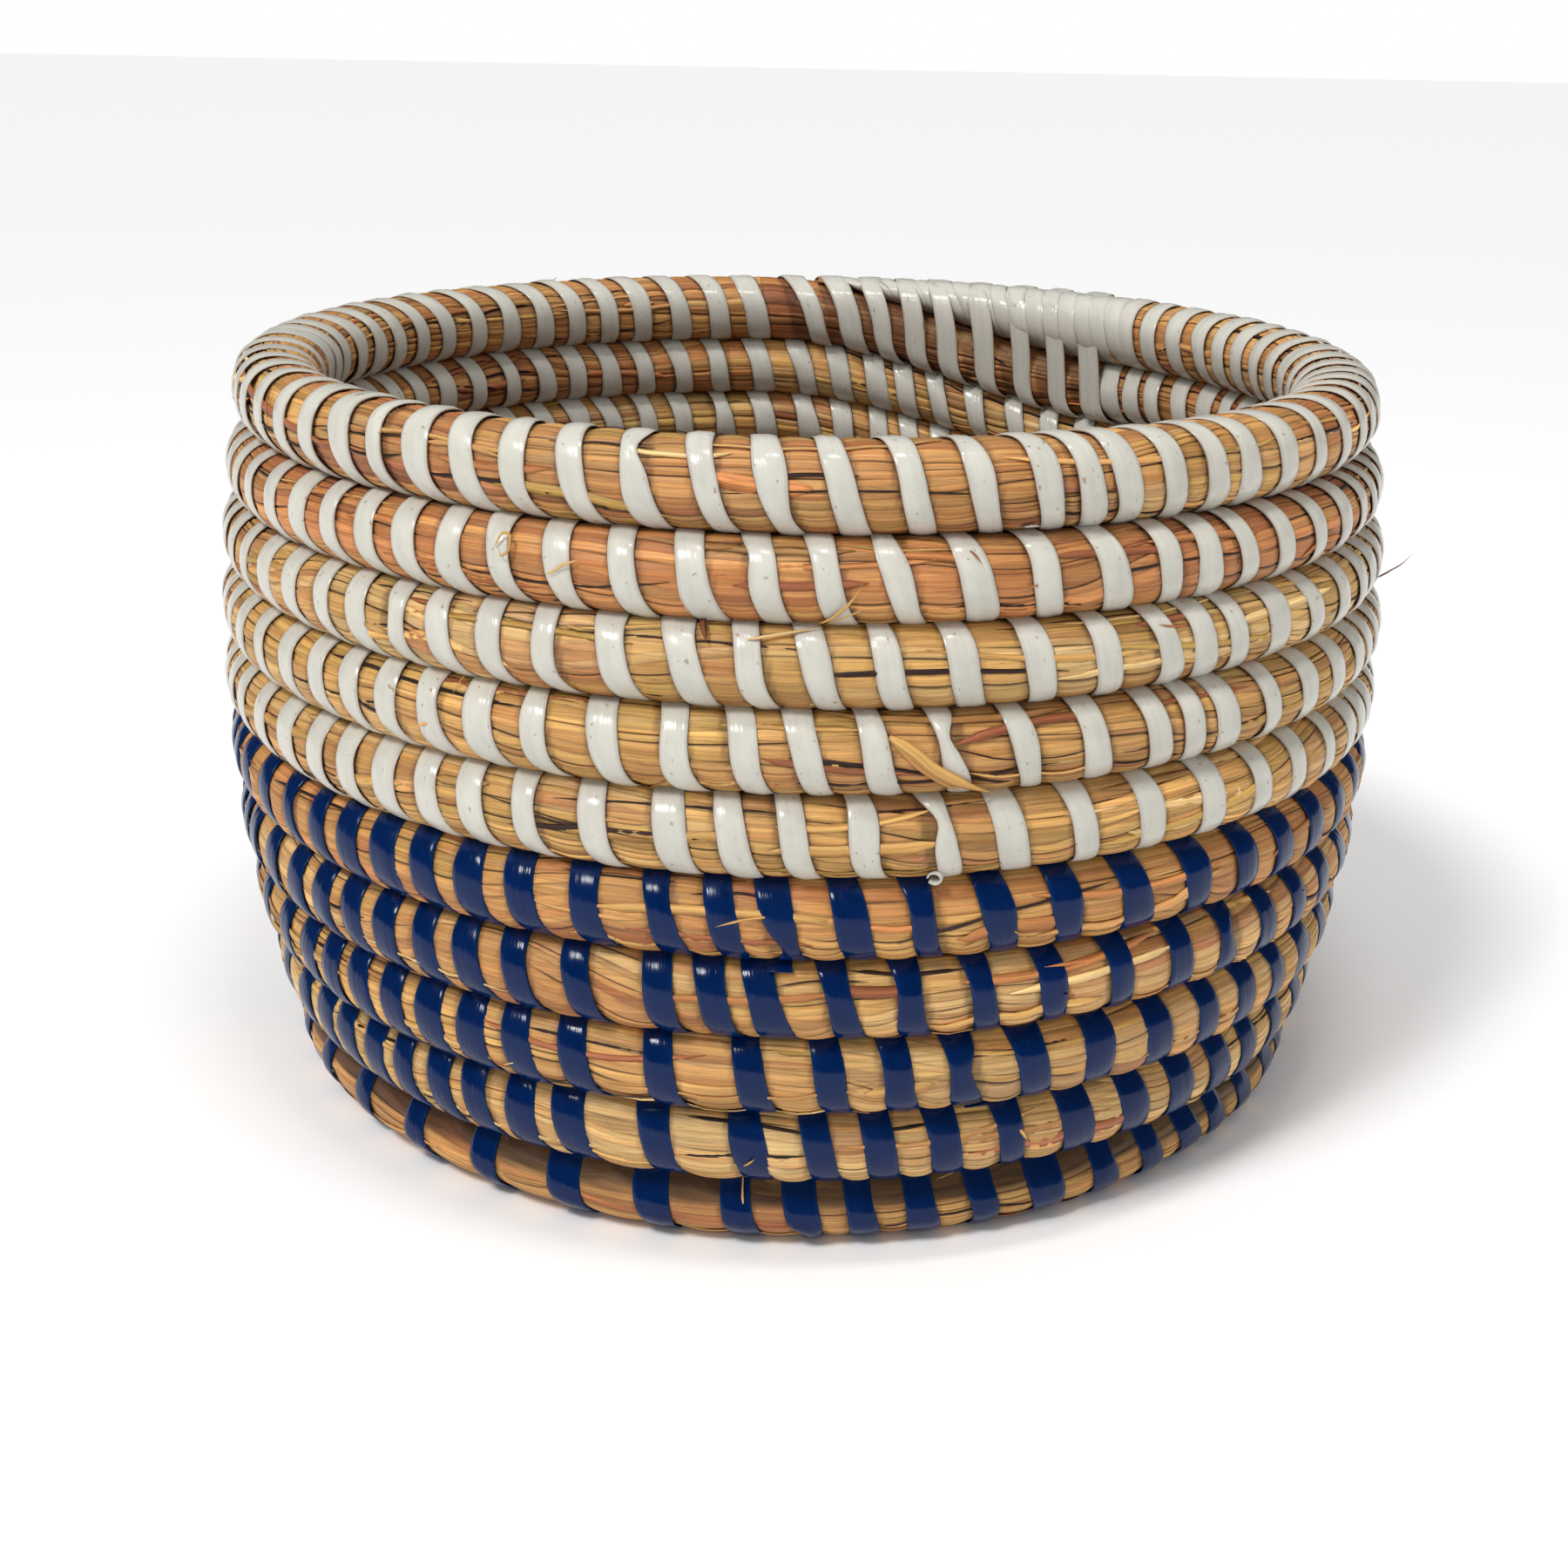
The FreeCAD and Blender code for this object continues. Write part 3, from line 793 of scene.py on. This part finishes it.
def fibre(pile, turn, controls, width, colour):
    """A stray fibre; controls are (azimuth, angle round the bundle, height off it in mm)."""
    controls = np.array(controls, float)
    steps = np.linspace(0.0, len(controls) - 1.0, 6 * len(controls))
    route = np.stack([np.interp(steps, np.arange(len(controls)), column) for column in controls.T], -1)
    for _ in range(4):
        route[1:-1] = (route[:-2] + 2.0 * route[1:-1] + route[2:]) / 4.0
    line = turn.point(route[:, 0], np.radians(route[:, 1]), route[:, 2] * MM)
    forward = np.gradient(line, axis=0)
    forward /= np.linalg.norm(forward, axis=1, keepdims=True)
    outward = turn.point(route[:, 0], np.radians(route[:, 1]), (route[:, 2] + 1.0) * MM) - line
    across = np.cross(forward, outward)
    across /= np.linalg.norm(across, axis=1, keepdims=True)
    outward = np.cross(across, forward)
    share = np.linspace(0.0, 1.0, len(line))
    taper = np.clip(np.minimum(share * 5.0 + 0.35, (1.0 - share) * 3.0), 0.08, 1.0) * width / 2.0
    wide = FLAT_SIDES[:, None] * across[:, None, :]
    ring = wide + 0.35 * FLAT_RISES[:, None] * outward[:, None, :]
    points = line[:, None, :] + ring * taper[:, None, None]
    crosswise = FLAT_SIDES * width / MM / 2.0
    pile.tube(points, colour, grain(share[:, None] * 12.0, crosswise, controls[0, 0]))


def stray_fibres(pile, turn, mood, rng):
    """Short frayed ends that lift off the bundle here and there."""
    names = list(mood)
    for _ in range(STRAY_FIBRES):
        azimuth = rng.uniform(turn.first + 4.0, turn.last - 4.0)
        theta = rng.choice([rng.uniform(-75.0, 75.0), rng.uniform(110.0, 240.0)])
        reach = rng.normal(0.0, 2.4)
        climb = rng.normal(0.0, 22.0)
        lift = abs(rng.normal(0.0, 0.7))
        controls = [
            (azimuth, theta, 0.2),
            (azimuth + 0.5 * reach, theta + 0.4 * climb, 0.5 + 0.3 * lift),
            (azimuth + reach, theta + climb, 0.6 + lift),
        ]
        colour = linear(PALETTE[names[rng.integers(len(names))]]) * rng.uniform(0.8, 1.25)
        fibre(pile, turn, controls, rng.uniform(0.18, 0.7) * MM, colour)


# ---- materials ----
def new_material(name):
    """A new material, its node tree and its shader."""
    material = bpy.data.materials.new(name)
    material.use_nodes = True
    tree = material.node_tree
    return material, tree, tree.nodes["Principled BSDF"]


def node(tree, kind, **values):
    """A new node with these properties set."""
    made = tree.nodes.new(kind)
    for key, value in values.items():
        setattr(made, key, value)
    return made


def attribute(tree, name):
    return node(tree, "ShaderNodeAttribute", attribute_name=name)


def noise_along(tree, scale, detail, roughness=0.55):
    """Noise on the grain coordinate, stretched by scale: along, across and from stalk to stalk."""
    place = attribute(tree, "grain")
    mapping = node(tree, "ShaderNodeMapping")
    mapping.inputs["Scale"].default_value = scale
    noise = node(tree, "ShaderNodeTexNoise")
    noise.inputs["Scale"].default_value = 1.0
    noise.inputs["Detail"].default_value = detail
    noise.inputs["Roughness"].default_value = roughness
    tree.links.new(place.outputs["Vector"], mapping.inputs["Vector"])
    tree.links.new(mapping.outputs["Vector"], noise.inputs["Vector"])
    return noise.outputs["Fac"]


def ramp(tree, value, stops):
    """A colour ramp over value; stops are (position, colour)."""
    made = node(tree, "ShaderNodeValToRGB")
    elements = made.color_ramp.elements
    while len(elements) < len(stops):
        elements.new(0.5)
    for element, (position, colour) in zip(elements, stops):
        element.position = position
        element.color = (*colour, 1.0)
    tree.links.new(value, made.inputs["Fac"])
    return made.outputs["Color"]


def bump(tree, height, distance, strength, shader):
    """Fine relief on the shader."""
    made = node(tree, "ShaderNodeBump")
    made.inputs["Distance"].default_value = distance
    made.inputs["Strength"].default_value = strength
    tree.links.new(height, made.inputs["Height"])
    tree.links.new(made.outputs["Normal"], shader.inputs["Normal"])


def multiplied(tree, factor, colour, value, stops):
    """The colour, made lighter or darker by a ramp over value."""
    made = node(tree, "ShaderNodeMix", data_type="RGBA", blend_type="MULTIPLY")
    made.inputs[0].default_value = factor
    tree.links.new(colour, made.inputs[6])
    tree.links.new(ramp(tree, value, stops), made.inputs[7])
    return made.outputs[2]


def grey(value):
    return (value, value, value)


def grass_material():
    """Dried grass: the stalk's own colour with fine fibres, warm streaks, and thin dark splits of painted
    shade.
    """
    material, tree, shader = new_material("dried_grass")
    tint = attribute(tree, "tint").outputs["Color"]
    fibres = noise_along(tree, (0.05, 2.3, 1.0), 4.0, 0.62)
    streaks = noise_along(tree, (0.016, 0.75, 0.7), 2.0)
    splits = noise_along(tree, (0.035, 1.5, 1.3), 2.5, 0.5)
    fine = ((0.30, grey(0.66)), (0.70, grey(1.22)))
    warm = ((0.34, (0.80, 0.66, 0.55)), (0.52, grey(1.0)), (0.70, (1.10, 1.10, 1.02)))
    thin = ((0.485, grey(1.0)), (0.4975, grey(0.30)), (0.51, grey(1.0)))
    colour = multiplied(tree, 1.0, tint, fibres, fine)
    colour = multiplied(tree, 0.8, colour, streaks, warm)
    # thin dark splits along the fibres: painted shade of cracks
    colour = multiplied(tree, 0.62, colour, splits, thin)
    tree.links.new(colour, shader.inputs["Base Color"])
    gloss = ramp(tree, streaks, ((0.3, grey(0.58)), (0.7, grey(0.42))))
    tree.links.new(gloss, shader.inputs["Roughness"])
    bump(tree, fibres, distance=0.16 * MM, strength=0.75, shader=shader)
    shader.inputs["Specular IOR Level"].default_value = 0.35
    return material


def strip_material(name, stain, roughness, specular):
    """Flattened plastic strip: creased lengthwise, glossy, with faint stains and scuffs."""
    material, tree, shader = new_material(name)
    tint = attribute(tree, "tint").outputs["Color"]
    creases = noise_along(tree, (0.05, 0.95, 1.0), 3.0, 0.6)
    clouds = noise_along(tree, (0.16, 0.22, 1.0), 2.0)
    specks = noise_along(tree, (0.75, 0.9, 1.0), 2.0, 0.45)
    colour = multiplied(tree, 1.0, tint, clouds, ((0.35, grey(0.93)), (0.65, grey(1.03))))
    # darker in the troughs of the lengthwise creases: painted shade
    colour = multiplied(tree, 1.0, colour, creases, ((0.3, grey(0.94)), (0.6, grey(1.0))))
    colour = multiplied(tree, 0.75, colour, specks, ((0.69, grey(1.0)), (0.74, stain)))
    tree.links.new(colour, shader.inputs["Base Color"])
    gloss = ramp(tree, clouds, ((0.3, grey(roughness - 0.06)), (0.7, grey(roughness + 0.07))))
    tree.links.new(gloss, shader.inputs["Roughness"])
    bump(tree, creases, distance=0.22 * MM, strength=0.55, shader=shader)
    shader.inputs["Specular IOR Level"].default_value = specular
    return material


# ---- the scene ----
def aim_camera():
    """Makes the camera and turns it by its yaw, pitch and roll."""
    data = bpy.data.cameras.new("camera")
    data.lens = CAMERA_LENS
    data.sensor_width = CAMERA_SENSOR
    data.clip_start = CAMERA_NEAR
    camera = placed_object("camera", data)
    level = math.cos(CAMERA_PITCH)
    forward = Vector((math.sin(CAMERA_YAW) * level, math.cos(CAMERA_YAW) * level, -math.sin(CAMERA_PITCH)))
    right = Vector((math.cos(CAMERA_YAW), -math.sin(CAMERA_YAW), 0.0))
    up = right.cross(forward)
    tilted_right = math.cos(CAMERA_ROLL) * right + math.sin(CAMERA_ROLL) * up
    tilted_up = -math.sin(CAMERA_ROLL) * right + math.cos(CAMERA_ROLL) * up
    turned = Matrix((tilted_right, tilted_up, -forward)).transposed()
    camera.matrix_world = Matrix.Translation(CAMERA_PLACE) @ turned.to_4x4()
    bpy.context.scene.camera = camera


def aimed(direction):
    """The rotation of a light that shines this way."""
    return Vector(direction).to_track_quat("-Z", "Y").to_euler()


def make_floor():
    """A plain pale studio floor."""
    material, _, shader = new_material("pale_floor")
    shader.inputs["Base Color"].default_value = (*grey(FLOOR_WHITE), 1.0)
    shader.inputs["Roughness"].default_value = 0.9
    shader.inputs["Specular IOR Level"].default_value = 0.1
    mesh = bpy.data.meshes.new("floor")
    corners = [(-1, -1), (1, -1), (1, 1), (-1, 1)]
    mesh.from_pydata([(x * FLOOR_HALF, y * FLOOR_HALF, 0.0) for x, y in corners], [], [(0, 1, 2, 3)])
    mesh.materials.append(material)
    floor = placed_object("floor", mesh)
    floor.location.z = -FLOOR_DROP


def make_world():
    """A white sky that lights the basket less than it shows, and that glossy strips mirror less."""
    world = bpy.data.worlds.new("studio")
    world.use_nodes = True
    tree = world.node_tree
    background = tree.nodes["Background"]
    background.inputs["Color"].default_value = (1.0, 1.0, 1.0, 1.0)
    path = node(tree, "ShaderNodeLightPath")
    product = node(tree, "ShaderNodeMath", operation="MULTIPLY")
    kinds_of_ray = (("Is Camera Ray", WORLD_LIGHT, 1.0), ("Is Glossy Ray", 1.0, WORLD_REFLECTED))
    for socket, (kind, otherwise, strength) in zip(product.inputs, kinds_of_ray):
        chosen = node(tree, "ShaderNodeMapRange")
        chosen.inputs["To Min"].default_value = otherwise
        chosen.inputs["To Max"].default_value = strength
        tree.links.new(path.outputs[kind], chosen.inputs["Value"])
        tree.links.new(chosen.outputs["Result"], socket)
    tree.links.new(product.outputs["Value"], background.inputs["Strength"])
    bpy.context.scene.world = world


def make_lights():
    """A soft sun from the front left, and the small lamps."""
    sun = bpy.data.lights.new("sun", "SUN")
    sun.energy = SUN_POWER
    sun.angle = math.radians(SUN_WIDTH)
    placed_object("sun", sun).rotation_euler = aimed(SUN_DIRECTION)
    for name, place, sides, watts in LAMPS:
        data = bpy.data.lights.new(name, "AREA")
        data.shape = "RECTANGLE"
        data.size, data.size_y = sides
        data.energy = watts
        lamp = placed_object(name, data)
        lamp.location = place
        lamp.rotation_euler = aimed(Vector(LAMP_TARGET) - Vector(place))


# ---- the basket ----
WHITE = linear((206, 203, 192))
# painted shade at the edges and underside of the white strips
WHITE_EDGE_PAINTED_SHADE = linear((128, 98, 78))
BLUE = linear((0, 30, 78))
# painted highlight at the edges of the blue strips
BLUE_EDGE_PAINTED_HIGHLIGHT = linear((8, 54, 108))

# Irregularities listed one by one, each on a named turn at an azimuth in degrees.
# A pinch is (angle round the bundle, how much narrower, millimetres moved sideways).
PINCHES = {
    ("rim_row", 254.7): (38.0, 0.42, -0.9),
    ("wall_row_09", 265.2): (32.0, 0.14, 0.6),
    ("wall_row_07", 280.0): (22.0, 0.52, -0.8),
    ("wall_row_06", 280.0): (28.0, 0.45, 0.9),
    ("wall_row_05", 269.0): (-24.0, 0.44, 1.0),
    ("wall_row_03", 285.0): (15.0, 0.30, -0.6),
    ("wall_row_01", 272.5): (8.0, 0.46, 0.9),
    ("wall_row_08", 236.0): (10.0, 0.25, 0.5),
    ("wall_row_04", 312.0): (20.0, 0.35, -0.7),
    ("wall_row_06", 130.0): (18.0, 0.40, 0.8),
    ("wall_row_02", 60.0): (-10.0, 0.38, -0.7),
    ("rim_row", 20.0): (50.0, 0.35, 0.7),
    ("wall_row_08", 165.0): (25.0, 0.42, -0.8),
}
# Cut ends that come out from under the row above: (azimuth, angle where it ends, lift, share of
# the usual width)
TAB_START = 96.0
TABS = {
    "wall_row_09": ((289.3, 60.0, 2.2 * MM, 0.62), (100.0, 58.0, 1.4 * MM, 0.8)),
    "wall_row_04": ((269.9, 50.0, 1.1 * MM, 0.75), (200.0, 52.0, 1.5 * MM, 0.7)),
    "wall_row_02": ((288.0, 62.0, 0.9 * MM, 0.8), (150.0, 58.0, 1.2 * MM, 0.7)),
}
# The rolled end of a strip that binds this row; it lies on the row below: (azimuth, radius)
ROLLS = {"wall_row_06": ((282.6, 1.15 * MM),)}
# Stray fibres: (controls, width, colour)
FIBRES = {
    "wall_row_08": (
        (((262.1, 78.0, 0.6), (262.4, 55.0, 1.3), (262.9, 28.0, 1.5)), 1.1 * MM, "brown"),
        (((266.0, 36.0, 0.8), (268.6, 46.0, 0.9), (271.8, 57.0, 1.1)), 0.6 * MM, "cream"),
        (((339.0, -18.0, 0.4), (340.0, -8.0, 2.6), (340.6, 4.0, 6.5)), 0.8 * MM, "brown"),
    ),
    "wall_row_09": (
        (((271.4, -62.0, 0.8), (273.0, -30.0, 1.4), (274.6, 2.0, 2.2)), 0.6 * MM, "gold"),
        (((272.0, -58.0, 1.0), (273.2, -38.0, 1.6), (275.0, -20.0, 2.0)), 0.4 * MM, "cream"),
        (((245.3, 16.0, 0.8), (245.8, 33.0, 1.5), (246.7, 30.0, 1.9), (246.8, 12.0, 1.5),
          (246.0, 4.0, 1.2), (245.7, 14.0, 0.9)), 0.5 * MM, "gold"),
        (((250.0, -6.0, 0.7), (251.4, 4.0, 1.0), (252.8, 12.0, 0.9)), 0.5 * MM, "cream"),
    ),
    "wall_row_07": (
        (((277.0, 26.0, 0.9), (280.5, -10.0, 1.1), (286.0, -58.0, 1.4)), 2.2 * MM, "gold"),
        (((277.6, 12.0, 0.8), (281.0, -26.0, 0.9), (283.0, -50.0, 0.9)), 0.9 * MM, "tan"),
    ),
}


def is_nearest(turn, azimuth, place):
    """Whether the wrap at this azimuth is the turn's nearest to a place."""
    apart = [abs((wrap_place - place + 180.0) % FULL_TURN - 180.0) for wrap_place in turn.wraps]
    return turn.wraps[int(np.argmin(apart))] == azimuth


def pinch_of(turn, azimuth):
    """The listed pinch of the wrap at this azimuth, if it has one."""
    for (name, place), (angle, amount, sideways) in PINCHES.items():
        if name == turn.name and is_nearest(turn, azimuth, place):
            return angle, amount, sideways * MM
    return None


def make_grass(turns, tail, material):
    """One piece of grass for each turn's node; the turns of the knot share one."""
    stalks = Stalks(np.random.default_rng(4))
    floor_turns = sum(turn.on_floor for turn in turns)
    pile = Pile()
    for index, turn in enumerate(turns + [tail]):
        rng = np.random.default_rng(100 + index)
        mood = MOODS[min(max(index - floor_turns, 0), len(MOODS) - 1)]
        grass_turn(pile, turn, stalks, mood, rng)
        if turn.name.startswith(("wall", "rim_row")):
            loose_stalks(pile, turn, mood, rng)
            stray_fibres(pile, turn, mood, rng)
        for controls, width, colour in FIBRES.get(turn.name, ()):
            fibre(pile, turn, controls, width, linear(PALETTE[colour]))
        if index + 1 < len(turns) and turns[index + 1].name == turn.name:
            continue
        pile.piece(turn.name + "_grass", material, [turn.name], "grass_bundle")
        pile = Pile()


def make_strips(placed, colour_name, colour, painted_edge_light, material, extra):
    """Shares the wraps of one colour out over lengths of strip, in the order they were wound."""
    counted = [turn for turn, _ in placed if turn.name != "base_knot"]
    uncounted = len(placed) - len(counted)
    strips = round(len(counted) / WRAPS_PER_STRIP)
    rng = np.random.default_rng(len(placed))
    for strip in range(strips):
        pile = Pile()
        first = uncounted + len(counted) * strip // strips if strip else 0
        last = uncounted + len(counted) * (strip + 1) // strips
        for turn, azimuth in placed[first:last]:
            wrap(pile, turn, azimuth, colour, painted_edge_light, rng, pinch_of(turn, azimuth))
        for turn, azimuth in placed[first:last]:
            for place, end, lift, size in TABS.get(turn.name, ()):
                if is_nearest(turn, azimuth, place):
                    within = turn.first + (place - turn.first) % FULL_TURN
                    wrap(pile, turn, within, colour, painted_edge_light, rng,
                         start=TAB_START, end=end, lift=lift, size=size)
            for place, radius in ROLLS.get(turn.name, ()):
                if is_nearest(turn, azimuth, place):
                    roll(pile, turn.before, place, radius, colour)
        if strip == strips - 1:
            for turn, azimuth in extra:
                wrap(pile, turn, azimuth, colour, painted_edge_light, rng)
        name = "%s_strip_%02d" % (colour_name, strip + 1)
        pile.piece(name + "_wraps", material, [name], colour_name + "_strip")


def main():
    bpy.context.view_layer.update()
    turns = read_turns()
    place_wraps(turns)
    grass = grass_material()
    white = strip_material("white_plastic", stain=(0.55, 0.42, 0.30), roughness=0.19, specular=0.42)
    blue = strip_material("blue_plastic", stain=(1.6, 1.6, 1.5), roughness=0.15, specular=0.24)
    aim_camera()
    make_floor()
    make_world()
    make_lights()
    bpy.context.scene.view_settings.view_transform = "Standard"

    tail = Tail(turns[-1])
    apart = math.degrees(TAIL_WRAP_SPACING / tail.radius)
    tail.wraps = list(np.arange(tail.first - TAIL_WRAP_LEAD, tail.last, apart))
    make_grass(turns, tail, grass)

    climbing = turns[-2]
    bound = BoundRow(climbing, tail.top)
    bound.wraps = climbing.wraps
    placed = []
    for turn in turns:
        for azimuth in turn.wraps:
            under_tail = turn is climbing and azimuth > turn.level_end + BOUND_LEAD
            placed.append((bound if under_tail else turn, azimuth))
    floor_turns = sum(turn.on_floor for turn in turns)
    split = sum(len(turn.wraps) for turn in turns[:floor_turns + BLUE_ROWS])
    over_tail = [(tail, azimuth) for azimuth in tail.wraps]
    make_strips(placed[:split], "blue", BLUE, BLUE_EDGE_PAINTED_HIGHLIGHT, blue, [])
    make_strips(placed[split:], "white", WHITE, WHITE_EDGE_PAINTED_SHADE, white, over_tail)


main()
